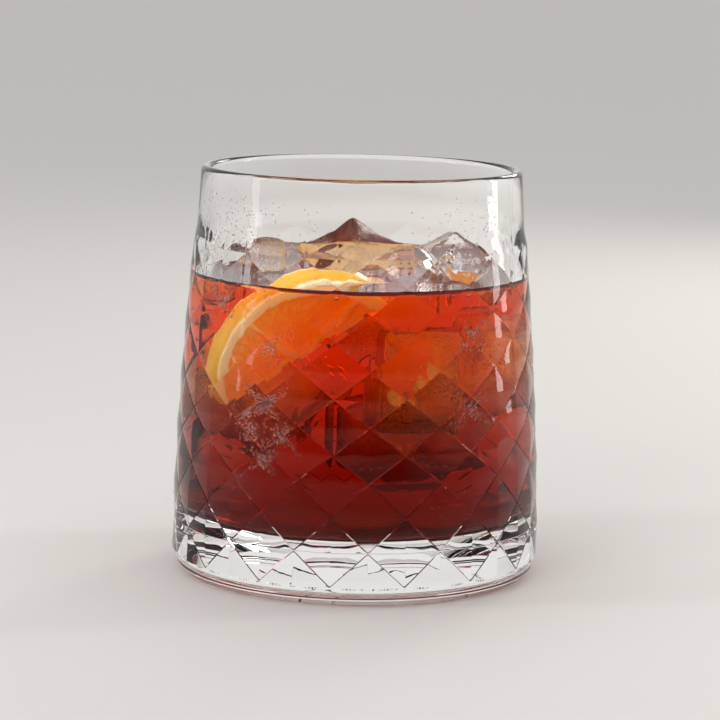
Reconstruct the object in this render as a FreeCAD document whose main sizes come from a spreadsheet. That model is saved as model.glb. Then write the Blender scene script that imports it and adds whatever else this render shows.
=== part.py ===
import FreeCAD, Part
import math
import os
import Sketcher

# Negroni in a diamond-cut tumbler, with a half wheel of orange and ice.
# Millimetres, +Z up, origin at the middle of the foot, where it meets the table.
# The drinker's side is -Y.

os.makedirs("parts", exist_ok=True)
doc = FreeCAD.newDocument("Negroni")

# ---------------------------------------------------------------- driving sizes

SIZES = (
    # tumbler: smooth shell
    ("glass_height", 95.0, "foot to rim"),
    ("rim_radius", 37.4, "outside of the rim"),
    ("rim_wall", 2.4, "wall at the rim, rounded over"),
    ("smooth_band", 11.2, "rim to the end of the relief"),
    ("neck_flare", 0.65, "how much the smooth wall widens down to the relief"),
    ("floor_height", 13.0, "top of the heavy base"),
    ("floor_wall", 4.6, "glass between the belly and the cavity's floor"),
    ("floor_round", 8.0, "cavity corner"),
    ("hidden_depth", 1.0, "how far the shell lies under the relief's knots"),
    # tumbler: foot
    ("foot_step", 0.8, "foot ring inside the belly"),
    ("foot_height", 4.0, "foot ring"),
    ("foot_bevel", 1.5, "slope from the foot ring to the table"),
    ("foot_groove", 0.4, "depth of the line round the foot ring"),
    ("contact_width", 3.0, "ring that touches the table"),
    ("base_hollow", 1.0, "underside, middle above the table"),
    # tumbler: diamond relief
    ("facets_around", 16, "diamonds in each row"),
    ("relief_turn", -7.2, "degrees from the drinker's side to a knot"),
    ("relief_collar", 0.6, "lowest knots above the foot ring"),
    ("foot_rows", 3, "tall half rows above the foot"),
    ("foot_pitch", 7.8, "height of a tall half row"),
    ("flank_rows", 9, "half rows above them, evenly spaced"),
    ("belly_radius", 43.0, "knots at the widest height"),
    ("belly_height", 8.0, "widest height"),
    ("flank_power", 1.6, "1 is a straight flank, more is a rounder one"),
    ("diamond_rise", 0.45, "middle of a diamond above its knots"),
    ("relief_step", 0.2, "relief above the smooth wall where it ends"),
    ("relief_tuck", 0.3, "top row under the smooth wall"),
    # drink
    ("drink_level", 69.0, "surface above the table"),
    ("fit_gap", 0.1, "drink to glass"),
    # orange: half wheel
    ("slice_radius", 21.0, "rind outside"),
    ("slice_thick", 5.0, "wheel thickness"),
    ("rind_width", 3.6, "rind and pith"),
    ("rind_round", 0.9, "worn edge of the rind"),
    ("membrane", 0.9, "skin between two segments"),
    ("upper_membrane", 16.0, "degrees from the upper end of the cut edge"),
    ("lower_membrane", 104.0, "degrees from the upper end of the cut edge"),
    ("segment_sink", 0.35, "cut flesh below the pith"),
    ("slice_lift", -15.4, "middle of the cut edge above the drink's surface"),
    ("slice_wall_gap", 0.65, "rind to the glass"),
    ("slice_side", -139.9, "degrees from +X to where the slice leans on the glass"),
    ("slice_heading", -1.3, "degrees, cut edge about the vertical"),
    ("slice_slope", 39.2, "degrees, cut edge up to the right"),
    ("slice_lean", 38.0, "degrees, rind leaning to the drinker"),
    # ice
    ("ice_taper", 2.5, "degrees, as turned out of a tray"),
)

# Each block of ice that breaks the surface has these sizes: three lengths, how far its
# edges have melted round, the side of the glass it floats at in degrees from +X, its gap
# to the wall, its middle above the drink's surface, and its turn as yaw, pitch and roll.
ICE_SIZES = (
    "across", "along", "tall", "melt", "side", "wall_gap", "lift", "yaw", "pitch", "roll",
)
ICE = {
    "ice_peak": (22.0, 23.0, 20.0, 2.2, 92.6, 5.0, -4.8, 152.7, 36.8, -137.7),
    "ice_right": (11.0, 14.5, 19.0, 1.3, -10.4, 3.5, 3.6, -168.7, 42.9, -77.0),
    "ice_left": (9.0, 12.0, 14.0, 3.2, 161.1, 6.2, -0.8, -14.0, 8.0, 10.0),
}

rows = list(SIZES)
for block, values in ICE.items():
    rows += [("%s_%s" % (block, name), value, block) for name, value in zip(ICE_SIZES, values)]

sheet = doc.addObject("Spreadsheet::Sheet", "sizes")
for row, (alias, value, note) in enumerate(rows, start=1):
    sheet.set("A%d" % row, alias)
    sheet.set("B%d" % row, str(value))
    sheet.set("C%d" % row, note)
    sheet.setAlias("B%d" % row, alias)
doc.recompute()


class Bound:
    """A length with the expression that ties it to the sheet."""

    def __init__(self, value, text):
        self.value = value
        self.text = text

    def _with(self, other, sign, value):
        text = other.text if isinstance(other, Bound) else str(other)
        return Bound(value, "(%s %s %s)" % (self.text, sign, text))

    def __add__(self, other):
        return self._with(other, "+", self.value + number(other))

    def __sub__(self, other):
        return self._with(other, "-", self.value - number(other))

    def __mul__(self, other):
        return self._with(other, "*", self.value * number(other))

    def __truediv__(self, other):
        return self._with(other, "/", self.value / number(other))

    def __pow__(self, other):
        return self._with(other, "^", self.value ** number(other))


def number(item):
    return item.value if isinstance(item, Bound) else item


def size(alias):
    """The plain number in a cell."""
    return float(sheet.get(alias))


def bound(alias):
    """The same cell as a length that stays tied to it."""
    return Bound(size(alias), "sizes.%s" % alias)


zero = Bound(0.0, "0")

# ---------------------------------------------------------------- small tools


def origin_plane(body, role):
    return next(f for f in body.Origin.OriginFeatures if f.Role == role)


def new_body(name):
    body = doc.addObject("PartDesign::Body", name)
    body.Label = name
    return body


def new_sketch(body, name, role):
    sketch = body.newObject("Sketcher::SketchObject", name)
    sketch.AttachmentSupport = (origin_plane(body, role), [""])
    sketch.MapMode = "FlatFace"
    return sketch


def pin(sketch, line, corner):
    """Hold the start of a sketch line at a corner whose two lengths come from the sheet."""
    for kind, length in zip(("DistanceX", "DistanceY"), corner):
        index = sketch.addConstraint(
            Sketcher.Constraint(kind, -1, 1, line, 1, length.value)
        )
        sketch.setExpression("Constraints[%d]" % index, length.text)


def polygon(sketch, corners):
    """A closed outline of straight lines through the corners."""
    first = sketch.GeometryCount
    spots = [FreeCAD.Vector(x.value, y.value, 0) for x, y in corners]
    for start, end in zip(spots, spots[1:] + spots[:1]):
        sketch.addGeometry(Part.LineSegment(start, end), False)
    count = len(corners)
    for i in range(count):
        following = first + (i + 1) % count
        sketch.addConstraint(
            Sketcher.Constraint("Coincident", first + i, 2, following, 1)
        )
    for i, corner in enumerate(corners):
        pin(sketch, first + i, corner)


def turned(body, name, corners, kind="PartDesign::Revolution"):
    """Add or cut a turned form about the vertical axis."""
    sketch = new_sketch(body, name + "_outline", "XZ_Plane")
    polygon(sketch, corners)
    feature = body.newObject(kind, name)
    feature.Profile = sketch
    feature.ReferenceAxis = (sketch, ["V_Axis"])
    feature.Angle = 360.0
    doc.recompute()
    return feature


def rings(shape, height, radius):
    """Names of the circular edges at a height with a radius."""
    found = []
    for i, edge in enumerate(shape.Edges, start=1):
        curve = edge.Curve
        if not isinstance(curve, Part.Circle):
            continue
        near_height = abs(curve.Center.z - height) < 1e-4
        if near_height and abs(curve.Radius - radius) < 1e-4:
            found.append("Edge%d" % i)
    return found


def rounded(body, name, feature, edges, radius):
    fillet = body.newObject("PartDesign::Fillet", name)
    fillet.Base = (feature, edges)
    fillet.Radius = radius.value
    fillet.setExpression("Radius", radius.text)
    body.Tip = fillet
    doc.recompute()
    return fillet


# ---------------------------------------------------------------- tumbler


def relief_top():
    return bound("glass_height") - bound("smooth_band")


def neck_radius():
    """Smooth wall where the relief ends."""
    return bound("rim_radius") + bound("neck_flare")


def floor_radius():
    return bound("belly_radius") - bound("floor_wall")


def cavity_radius(height):
    """The cavity's wall is one straight cone from the floor to the rim."""
    rim_inside = bound("rim_radius") - bound("rim_wall")
    widening = floor_radius() - rim_inside
    run = bound("glass_height") - bound("floor_height")
    return rim_inside + widening * (bound("glass_height") - height) / run


def knot_radius(height):
    """Radius of the relief's knots: a flank that rounds over towards the foot."""
    belly = bound("belly_height")
    share = (height - belly) / (relief_top() - belly)
    if share.value <= 0:
        return bound("belly_radius")
    draw_in = bound("belly_radius") - neck_radius() - bound("relief_step")
    return bound("belly_radius") - draw_in * share ** bound("flank_power")


def row_heights():
    """Half rows of diamonds: tall ones round the heavy base, then even ones."""
    foot_rows = int(size("foot_rows"))
    flank_rows = int(size("flank_rows"))
    start = bound("foot_height") + bound("relief_collar")
    change = start + bound("foot_pitch") * foot_rows
    pitch = (relief_top() - change) / flank_rows
    lower = [start + bound("foot_pitch") * i for i in range(foot_rows)]
    return lower + [change + pitch * i for i in range(flank_rows + 1)]


def relief_rings():
    """Corner points of the relief, ring by ring: knots and diamond middles take turns."""
    around = 2 * int(size("facets_around"))
    heights = row_heights()
    result = []
    for k, height in enumerate(heights):
        knot = knot_radius(height).value
        middle = knot + size("diamond_rise")
        if k == len(heights) - 1:
            knot = middle = neck_radius().value - size("relief_tuck")
        ring = []
        for i in range(around):
            angle = math.radians(size("relief_turn") - 90.0 + i * 360.0 / around)
            radius = knot if (i + k) % 2 == 0 else middle
            ring.append(
                FreeCAD.Vector(radius * math.cos(angle), radius * math.sin(angle), height.value)
            )
        result.append(ring)
    return result


def flat_face(points):
    return Part.Face(Part.makePolygon(points + points[:1]))


def diamond_relief():
    """Four planar facets to each diamond, split along the line between its knots."""
    levels = relief_rings()
    skirt = [FreeCAD.Vector(p.x, p.y, p.z - size("relief_collar")) for p in levels[0]]
    around = len(skirt)
    faces = [flat_face(skirt[::-1]), flat_face(levels[-1])]
    for i in range(around):
        j = (i + 1) % around
        faces.append(flat_face([skirt[i], skirt[j], levels[0][j], levels[0][i]]))
    for k in range(len(levels) - 1):
        low, high = levels[k], levels[k + 1]
        for i in range(around):
            j = (i + 1) % around
            if (i + k) % 2 == 0:
                faces.append(flat_face([low[i], low[j], high[j]]))
                faces.append(flat_face([low[i], high[j], high[i]]))
            else:
                faces.append(flat_face([low[i], low[j], high[i]]))
                faces.append(flat_face([low[j], high[j], high[i]]))
    shell = Part.makeShell(faces)
    shell.sewShape()
    return Part.makeSolid(shell)


def make_tumbler():
    """A turned, rounded shell with the cut-diamond relief grown onto its flank."""
    height = bound("glass_height")
    rim = bound("rim_radius")
    foot = bound("belly_radius") - bound("foot_step")
    foot_top = bound("foot_height")
    groove = bound("foot_groove")
    bevel = bound("foot_bevel")
    contact = foot - bevel
    ring_inside = contact - bound("contact_width")
    groove_middle = (foot_top + bevel) / 2
    shell = new_body("shell")
    outline = [
        (zero, bound("base_hollow")),
        (ring_inside - bound("base_hollow"), bound("base_hollow")),
        (ring_inside, zero),
        (contact, zero),
        (foot, bevel),
        (foot, groove_middle - groove),
        (foot - groove, groove_middle),
        (foot, groove_middle + groove),
        (foot, foot_top + bound("relief_collar")),
    ]
    foot_rows = int(size("foot_rows"))
    for z in row_heights()[foot_rows:-2:3]:
        outline.append((knot_radius(z) - bound("hidden_depth"), z))
    outline += [
        (neck_radius(), relief_top()),
        (rim, height),
        (zero, height),
    ]
    blank = turned(shell, "blank", outline)
    floor = bound("floor_height")
    cavity = turned(
        shell,
        "cavity",
        [
            (zero, floor),
            (floor_radius(), floor),
            (rim - bound("rim_wall"), height),
            (zero, height),
        ],
        "PartDesign::Groove",
    )
    if cavity.Shape.Volume > blank.Shape.Volume * 0.9:
        raise RuntimeError("the cavity cut nothing")
    corner = rings(cavity.Shape, floor.value, floor_radius().value)
    base = rounded(shell, "floor_corner", cavity, corner, bound("floor_round"))
    lips = rings(base.Shape, height.value, rim.value)
    lips += rings(base.Shape, height.value, rim.value - size("rim_wall"))
    lip_round = bound("rim_wall") * 0.44  # nearly a half round, whatever the cavity's slope
    lip = rounded(shell, "fire_polished_rim", base, lips, lip_round)
    edge = rings(lip.Shape, bevel.value, foot.value)
    edge += rings(lip.Shape, 0.0, contact.value)
    rounded(shell, "soft_foot", lip, edge, bevel / 3)

    relief = doc.addObject("Part::Feature", "diamonds")
    relief.Shape = diamond_relief()

    core = doc.addObject("Part::Cone", "core")
    span = (foot - cavity_radius(foot_top)) / 2
    core.setExpression("Radius1", (cavity_radius(foot_top) + span).text)
    span = (neck_radius() - cavity_radius(relief_top())) / 2
    core.setExpression("Radius2", (cavity_radius(relief_top()) + span).text)
    core.setExpression("Height", (relief_top() - foot_top).text)
    core.setExpression("Placement.Base.z", foot_top.text)

    skin = doc.addObject("Part::Cut", "relief_skin")
    skin.Base = relief
    skin.Tool = core
    doc.recompute()

    tumbler = doc.addObject("Part::Fuse", "tumbler")
    tumbler.Label = "tumbler"
    tumbler.Base = shell
    tumbler.Tool = skin
    doc.recompute()
    return tumbler


# ---------------------------------------------------------------- things in the drink


def settle(body, turn, middle, side, lift, gap):
    """Stand a body on its middle, turned, and push it level until it is a gap from the glass."""
    body.Placement = FreeCAD.Placement(FreeCAD.Vector(0, 0, 0), turn)
    centre = turn.multVec(middle)
    level = size("drink_level") + size(lift)
    start = FreeCAD.Vector(0, 0, level) - centre
    points = [p + start for p in body.Shape.tessellate(0.2)[0]]
    angle = math.radians(size(side))
    push = FreeCAD.Vector(math.cos(angle), math.sin(angle), 0)
    near = 0.0
    far = size("belly_radius")
    while far - near > 0.001:
        reach = (near + far) / 2
        moved = [p + push * reach for p in points]
        if all(math.hypot(p.x, p.y) < cavity_radius(p.z).value - size(gap) for p in moved):
            near = reach
        else:
            far = reach
    body.Placement = FreeCAD.Placement(start + push * near, turn)
    doc.recompute()


# ---------------------------------------------------------------- orange


def wedge(sketch, inner, outer, start, end, skin):
    """One segment's outline: two sides a membrane apart from the next and a round back."""
    def spot(radius, angle, side):
        direction = FreeCAD.Vector(math.cos(angle), math.sin(angle), 0)
        across = FreeCAD.Vector(-direction.y, direction.x, 0)
        return direction * radius + across * side

    first = sketch.GeometryCount
    low_in = spot(inner, start, skin / 2)
    low_out = spot(outer, start, skin / 2)
    high_out = spot(outer, end, -skin / 2)
    high_in = spot(inner, end, -skin / 2)
    back = spot(outer + skin, (start + end) / 2, 0)
    sketch.addGeometry(Part.LineSegment(low_in, low_out), False)
    sketch.addGeometry(Part.Arc(low_out, back, high_out), False)
    sketch.addGeometry(Part.LineSegment(high_out, high_in), False)
    sketch.addGeometry(Part.LineSegment(high_in, low_in), False)
    middle = sketch.getPoint(first + 1, 1)
    arc_from_low = (middle - low_out).Length < 1e-6
    near, far = (1, 2) if arc_from_low else (2, 1)
    sketch.addConstraint(Sketcher.Constraint("Coincident", first, 2, first + 1, near))
    sketch.addConstraint(Sketcher.Constraint("Coincident", first + 1, far, first + 2, 1))
    sketch.addConstraint(Sketcher.Constraint("Coincident", first + 2, 2, first + 3, 1))
    sketch.addConstraint(Sketcher.Constraint("Coincident", first + 3, 2, first, 1))


def make_orange_slice():
    """A half wheel standing on its cut edge: rind outside, segments sunk between membranes."""
    body = new_body("orange_slice")
    radius = bound("slice_radius")
    outline = new_sketch(body, "half_wheel", "XZ_Plane")
    middle = FreeCAD.Vector(0, 0, 0)
    circle = Part.Circle(middle, FreeCAD.Vector(0, 0, 1), radius.value)
    outline.addGeometry(Part.ArcOfCircle(circle, 0, math.pi), False)
    ends = [FreeCAD.Vector(-radius.value, 0, 0), FreeCAD.Vector(radius.value, 0, 0)]
    outline.addGeometry(Part.LineSegment(*ends), False)
    outline.addConstraint(Sketcher.Constraint("Coincident", 0, 3, -1, 1))
    outline.addConstraint(Sketcher.Constraint("Coincident", 0, 2, 1, 1))
    outline.addConstraint(Sketcher.Constraint("Coincident", 0, 1, 1, 2))
    outline.addConstraint(Sketcher.Constraint("PointOnObject", 1, 1, -1))
    outline.addConstraint(Sketcher.Constraint("PointOnObject", 1, 2, -1))
    index = outline.addConstraint(Sketcher.Constraint("Radius", 0, radius.value))
    outline.setExpression("Constraints[%d]" % index, radius.text)

    wheel = body.newObject("PartDesign::Pad", "wheel")
    wheel.Profile = outline
    wheel.Midplane = True
    wheel.Length = size("slice_thick")
    wheel.setExpression("Length", "sizes.slice_thick")
    doc.recompute()

    rims = []
    for i, edge in enumerate(wheel.Shape.Edges, start=1):
        if isinstance(edge.Curve, Part.Circle):
            rims.append("Edge%d" % i)
    rind = rounded(body, "rind_edge", wheel, rims, bound("rind_round"))

    back = size("slice_radius") - size("rind_width")
    skin = size("membrane")
    edges = (0.0, size("upper_membrane"), size("lower_membrane"), 180.0)
    solid_before = rind.Shape.Volume
    for side in (-1, 1):
        cells = new_sketch(body, "segments_%s" % ("front" if side < 0 else "back"), "XZ_Plane")
        cells.AttachmentOffset = FreeCAD.Placement(
            FreeCAD.Vector(0, 0, -side * size("slice_thick") / 2), FreeCAD.Rotation()
        )
        cells.setExpression(
            "AttachmentOffset.Base.z", "%d * sizes.slice_thick / 2" % -side
        )
        for start, end in zip(edges, edges[1:]):
            low = math.radians(start)
            high = math.radians(end)
            narrow = 1.5 * skin / math.tan((high - low) / 2) ** 0.5
            wedge(cells, narrow, back - skin, low, high, skin)
        sunk = body.newObject("PartDesign::Pocket", "flesh_%s" % ("front" if side < 0 else "back"))
        sunk.Profile = cells
        sunk.Length = size("segment_sink")
        sunk.setExpression("Length", "sizes.segment_sink")
        sunk.Reversed = side > 0
        doc.recompute()
    if sunk.Shape.Volume > solid_before - 100.0 * size("segment_sink"):
        raise RuntimeError("the segments were not sunk")

    turn = FreeCAD.Rotation(FreeCAD.Vector(0, 0, 1), size("slice_heading"))
    slope = FreeCAD.Rotation(FreeCAD.Vector(0, 1, 0), -size("slice_slope"))
    lean = FreeCAD.Rotation(FreeCAD.Vector(1, 0, 0), size("slice_lean"))
    pose = turn.multiply(slope).multiply(lean)
    settle(body, pose, FreeCAD.Vector(), "slice_side", "slice_lift", "slice_wall_gap")
    return body


# ---------------------------------------------------------------- ice


def make_ice(label):
    """A tray cube: slightly narrower at one end, every edge melted round."""
    body = new_body(label)
    across = bound(label + "_across")
    along = bound(label + "_along")
    tall = bound(label + "_tall")
    footprint = new_sketch(body, label + "_base", "XY_Plane")
    half_x = across / 2
    half_y = along / 2
    polygon(
        footprint,
        [
            (zero - half_x, zero - half_y),
            (half_x, zero - half_y),
            (half_x, half_y),
            (zero - half_x, half_y),
        ],
    )
    block = body.newObject("PartDesign::Pad", label + "_block")
    block.Profile = footprint
    block.Length = tall.value
    block.setExpression("Length", tall.text)
    block.TaperAngle = -size("ice_taper")
    block.setExpression("TaperAngle", "-sizes.ice_taper")
    doc.recompute()
    names = ["Edge%d" % (i + 1) for i in range(len(block.Shape.Edges))]
    rounded(body, label + "_melt", block, names, bound(label + "_melt"))
    turn = FreeCAD.Rotation(*[size("%s_%s" % (label, a)) for a in ("yaw", "pitch", "roll")])
    middle = FreeCAD.Vector(0, 0, tall.value / 2)
    settle(body, turn, middle, label + "_side", label + "_lift", label + "_wall_gap")
    return body


# ---------------------------------------------------------------- drink


def make_drink(sunk_things):
    """The filling up to its level, cut round the orange and the ice."""
    fill = new_body("fill")
    gap = bound("fit_gap")
    level = bound("drink_level")
    low = bound("floor_height") + gap
    pour = turned(
        fill,
        "pour",
        [
            (zero, low),
            (cavity_radius(low) - gap, low),
            (cavity_radius(level) - gap, level),
            (zero, level),
        ],
    )
    corner = rings(pour.Shape, low.value, (cavity_radius(low) - gap).value)
    rounded(fill, "pour_corner", pour, corner, bound("floor_round"))
    sunk = doc.addObject("Part::MultiFuse", "sunk_things")
    sunk.Shapes = sunk_things
    doc.recompute()
    drink = doc.addObject("Part::Cut", "drink")
    drink.Label = "drink"
    drink.Base = fill
    drink.Tool = sunk
    doc.recompute()
    return drink


# ---------------------------------------------------------------- build and write

tumbler = make_tumbler()
orange_slice = make_orange_slice()
ice = [make_ice(label) for label in ICE]
drink = make_drink([orange_slice] + ice)
parts = [tumbler, drink, orange_slice] + ice
doc.recompute()

for item in doc.Objects:
    bad = [state for state in item.State if state in ("Invalid", "Error")]
    if bad:
        raise RuntimeError("%s is %s" % (item.Name, bad))
for part in parts:
    shape = part.Shape
    if shape.isNull() or not shape.isValid():
        raise RuntimeError("%s has no sound shape" % part.Label)
    if len(shape.Solids) != 1:
        raise RuntimeError("%s has %d solids" % (part.Label, len(shape.Solids)))

for part in parts:
    part.Shape.exportStep("parts/%s.step" % part.Label)
    box = part.Shape.BoundBox
    print(
        "%-13s %8.1f mm3  x %.1f..%.1f  y %.1f..%.1f  z %.1f..%.1f"
        % (part.Label, part.Shape.Volume, box.XMin, box.XMax, box.YMin, box.YMax, box.ZMin, box.ZMax)
    )
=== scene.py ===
import math
import random

import bmesh
import bpy
from mathutils import Euler, Matrix, Vector, noise
from mathutils.bvhtree import BVHTree


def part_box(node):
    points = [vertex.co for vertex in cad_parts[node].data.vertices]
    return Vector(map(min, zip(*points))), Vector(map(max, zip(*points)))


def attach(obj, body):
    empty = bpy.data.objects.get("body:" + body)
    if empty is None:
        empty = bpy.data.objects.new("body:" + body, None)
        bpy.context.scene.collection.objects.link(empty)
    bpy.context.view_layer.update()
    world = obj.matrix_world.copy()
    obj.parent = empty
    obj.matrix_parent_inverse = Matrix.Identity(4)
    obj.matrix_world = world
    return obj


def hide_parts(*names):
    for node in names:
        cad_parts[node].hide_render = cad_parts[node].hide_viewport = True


# A negroni: heavy diamond-relief tumbler, red-orange drink, ice and half a wheel of orange.
# Everything is in metres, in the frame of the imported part.

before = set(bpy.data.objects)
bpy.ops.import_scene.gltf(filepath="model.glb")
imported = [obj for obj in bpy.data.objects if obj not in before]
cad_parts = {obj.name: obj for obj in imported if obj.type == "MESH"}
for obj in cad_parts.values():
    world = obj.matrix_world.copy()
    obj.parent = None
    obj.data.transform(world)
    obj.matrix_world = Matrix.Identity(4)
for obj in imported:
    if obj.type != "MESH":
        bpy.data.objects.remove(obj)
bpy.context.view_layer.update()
mm = 0.001
deg = math.radians
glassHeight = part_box("tumbler")[1].z
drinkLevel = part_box("drink")[1].z
print("frame loaded, glass height", round(glassHeight, 4))


# small tools for shapes
def shade(bm, foldAngle=32):
    # smooth everywhere but over real folds, so that long faces bend light as flat ones do
    for face in bm.faces:
        face.smooth = True
    for edge in bm.edges:
        edge.smooth = edge.calc_face_angle(0) < deg(foldAngle)


def newPiece(name, bm, material):
    mesh = bpy.data.meshes.new(name)
    shade(bm)
    bm.to_mesh(mesh)
    bm.free()
    piece = bpy.data.objects.new(name, mesh)
    bpy.context.scene.collection.objects.link(piece)
    if material:
        mesh.materials.append(material)
    return piece


def spinOutline(bm, points, steps):
    # points are (radius, height) pairs of a closed or axis-to-axis outline
    verts = [bm.verts.new((r, 0, z)) for r, z in points]
    edges = [bm.edges.new(pair) for pair in zip(verts, verts[1:])]
    bmesh.ops.spin(bm, geom=verts + edges, cent=(0, 0, 0), axis=(0, 0, 1),
                   angle=2 * math.pi, steps=steps, use_merge=True)
    bmesh.ops.remove_doubles(bm, verts=bm.verts[:], dist=1e-7)
    bmesh.ops.recalc_face_normals(bm, faces=bm.faces[:])


def roundCorner(before, corner, after, radius, steps):
    # the arc that rounds one corner of an outline
    a = (Vector(before) - Vector(corner)).normalized()
    b = (Vector(after) - Vector(corner)).normalized()
    half = a.angle(b) / 2
    centre = Vector(corner) + (a + b).normalized() * (radius / math.sin(half))
    start = Vector(corner) + a * (radius / math.tan(half)) - centre
    end = Vector(corner) + b * (radius / math.tan(half)) - centre
    turn = start.angle_signed(end)
    arc = []
    for i in range(steps + 1):
        spot = start.copy()
        spot.rotate(Matrix.Rotation(-turn * i / steps, 2))
        arc.append(tuple(centre + spot))
    return arc


def outlineOf(corners, steps):
    # corners are (radius, height, rounding)
    points = []
    last = len(corners) - 1
    for i, (r, z, rounding) in enumerate(corners):
        if rounding <= 0 or i in (0, last):
            points.append((r, z))
        else:
            points += roundCorner(corners[i - 1][:2], (r, z), corners[i + 1][:2], rounding, steps)
    return points


def boolean(piece, other, operation):
    cutter = piece.modifiers.new(operation.lower(), "BOOLEAN")
    cutter.object = other
    cutter.operation = operation
    cutter.solver = "EXACT"
    graph = bpy.context.evaluated_depsgraph_get()
    result = bpy.data.meshes.new_from_object(piece.evaluated_get(graph))
    piece.modifiers.clear()
    old = piece.data
    piece.data = result
    bpy.data.meshes.remove(old)
    bpy.data.objects.remove(other)


def addHollow(whole, part):
    # a closed form joined in inside out leaves a hollow
    bmesh.ops.reverse_faces(part, faces=part.faces[:])
    mesh = bpy.data.meshes.new("hollow")
    part.to_mesh(mesh)
    part.free()
    whole.from_mesh(mesh)
    bpy.data.meshes.remove(mesh)


# small tools for materials: a value is a number, a colour or the socket of another node
def addNode(tree, kind, **values):
    node = tree.nodes.new(kind)
    for name, value in values.items():
        setattr(node, name, value)
    return node


def feed(tree, socket, value):
    if isinstance(value, bpy.types.NodeSocket):
        tree.links.new(value, socket)
    else:
        socket.default_value = value


def mathNode(tree, operation, *values):
    node = addNode(tree, "ShaderNodeMath", operation=operation)
    for socket, value in zip(node.inputs, values):
        feed(tree, socket, value)
    return node.outputs[0]


def rangeNode(tree, value, start, end, smooth=True):
    # carries the range start, a pair, over to the range end
    kind = "SMOOTHSTEP" if smooth else "LINEAR"
    node = addNode(tree, "ShaderNodeMapRange", interpolation_type=kind)
    names = ("From Min", "From Max", "To Min", "To Max")
    for name, number in zip(names, (*start, *end)):
        node.inputs[name].default_value = number
    feed(tree, node.inputs["Value"], value)
    return node.outputs[0]


def mixNode(tree, factor, first, second, kind="RGBA"):
    node = addNode(tree, "ShaderNodeMix", data_type=kind)
    for name, value in (("Factor", factor), ("A", first), ("B", second)):
        feed(tree, node.inputs[name], value)
    return node.outputs["Result"]


def noiseNode(tree, place, scale, detail=2.0):
    node = addNode(tree, "ShaderNodeTexNoise")
    feed(tree, node.inputs["Vector"], place)
    feed(tree, node.inputs["Scale"], scale)
    node.inputs["Detail"].default_value = detail
    return node.outputs["Fac"]


def rampNode(tree, value, stops):
    # stops are (position, colour) in order; a new ramp already has its first and its last
    node = addNode(tree, "ShaderNodeValToRGB")
    elements = node.color_ramp.elements
    for element, (position, colour) in zip(elements, (stops[0], stops[-1])):
        element.position = position
        element.color = (*colour, 1)
    for position, colour in stops[1:-1]:
        elements.new(position).color = (*colour, 1)
    feed(tree, node.inputs["Fac"], value)
    return node.outputs[0]


def bumpNode(tree, height, strength, distance):
    node = addNode(tree, "ShaderNodeBump")
    feed(tree, node.inputs["Height"], height)
    feed(tree, node.inputs["Strength"], strength)
    node.inputs["Distance"].default_value = distance
    return node


def newMaterial(name):
    # the material's tree, its shader, and the place on the piece
    material = bpy.data.materials.new(name)
    material.use_nodes = True
    tree = material.node_tree
    place = addNode(tree, "ShaderNodeTexCoord").outputs["Object"]
    return material, tree, tree.nodes["Principled BSDF"], place


view = dict(distance=0.620, height=0.1468, lens=133.0, lookDown=8.94, turn=0.04, roll=1.16)


def makeCamera():
    camera = bpy.data.objects.new("camera", bpy.data.cameras.new("camera"))
    bpy.context.scene.collection.objects.link(camera)
    camera.data.lens = view["lens"]
    camera.data.sensor_width = 36.0
    camera.data.clip_start = 0.01
    down, turn, roll = [deg(view[name]) for name in ("lookDown", "turn", "roll")]
    ahead = Vector((math.sin(turn) * math.cos(down), math.cos(turn) * math.cos(down),
                    -math.sin(down)))
    right = Vector((math.cos(turn), -math.sin(turn), 0))
    up = right.cross(ahead)
    side = right * math.cos(roll) + up * math.sin(roll)
    top = up * math.cos(roll) - right * math.sin(roll)
    place = Matrix((side, top, -ahead)).transposed().to_4x4()
    place.translation = Vector((0, -view["distance"], view["height"]))
    camera.matrix_world = place
    bpy.context.scene.camera = camera


# floor and light
studio = dict(
    floorColour=(0.80, 0.785, 0.765), floorSize=40.0, floorRoughness=0.65,
    floorGrain=900, floorGrainDepth=0.4 * mm, floorGrainStrength=0.04,
    backdrop=(0.80, 0.785, 0.765), behindViewer=0.10, viewerSide=(-0.96, -0.45),
    overhead=0.45, overheadSide=(0.85, 0.15), fill=0.80, fillThroughGlass=4.0,
    lampTarget=(0, 0, 0.05),
)

lamps = {
    "left_softbox": dict(place=(-0.52, -0.12, 0.27), size=(0.07, 0.5), power=0.6),
    "right_softbox": dict(place=(0.56, 0.16, 0.25), size=(0.07, 0.5), power=0.7),
    "back_softbox": dict(place=(0.34, 0.62, 0.36), size=(0.2, 0.2), power=0.9,
                         colour=(1.0, 0.95, 0.88)),
    "top_softbox": dict(place=(-0.1, 0.1, 0.85), size=(0.5, 0.5), power=0.4),
    "front_softbox": dict(place=(-0.42, -0.62, 0.42), size=(0.4, 0.4), power=1.3),
}


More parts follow.
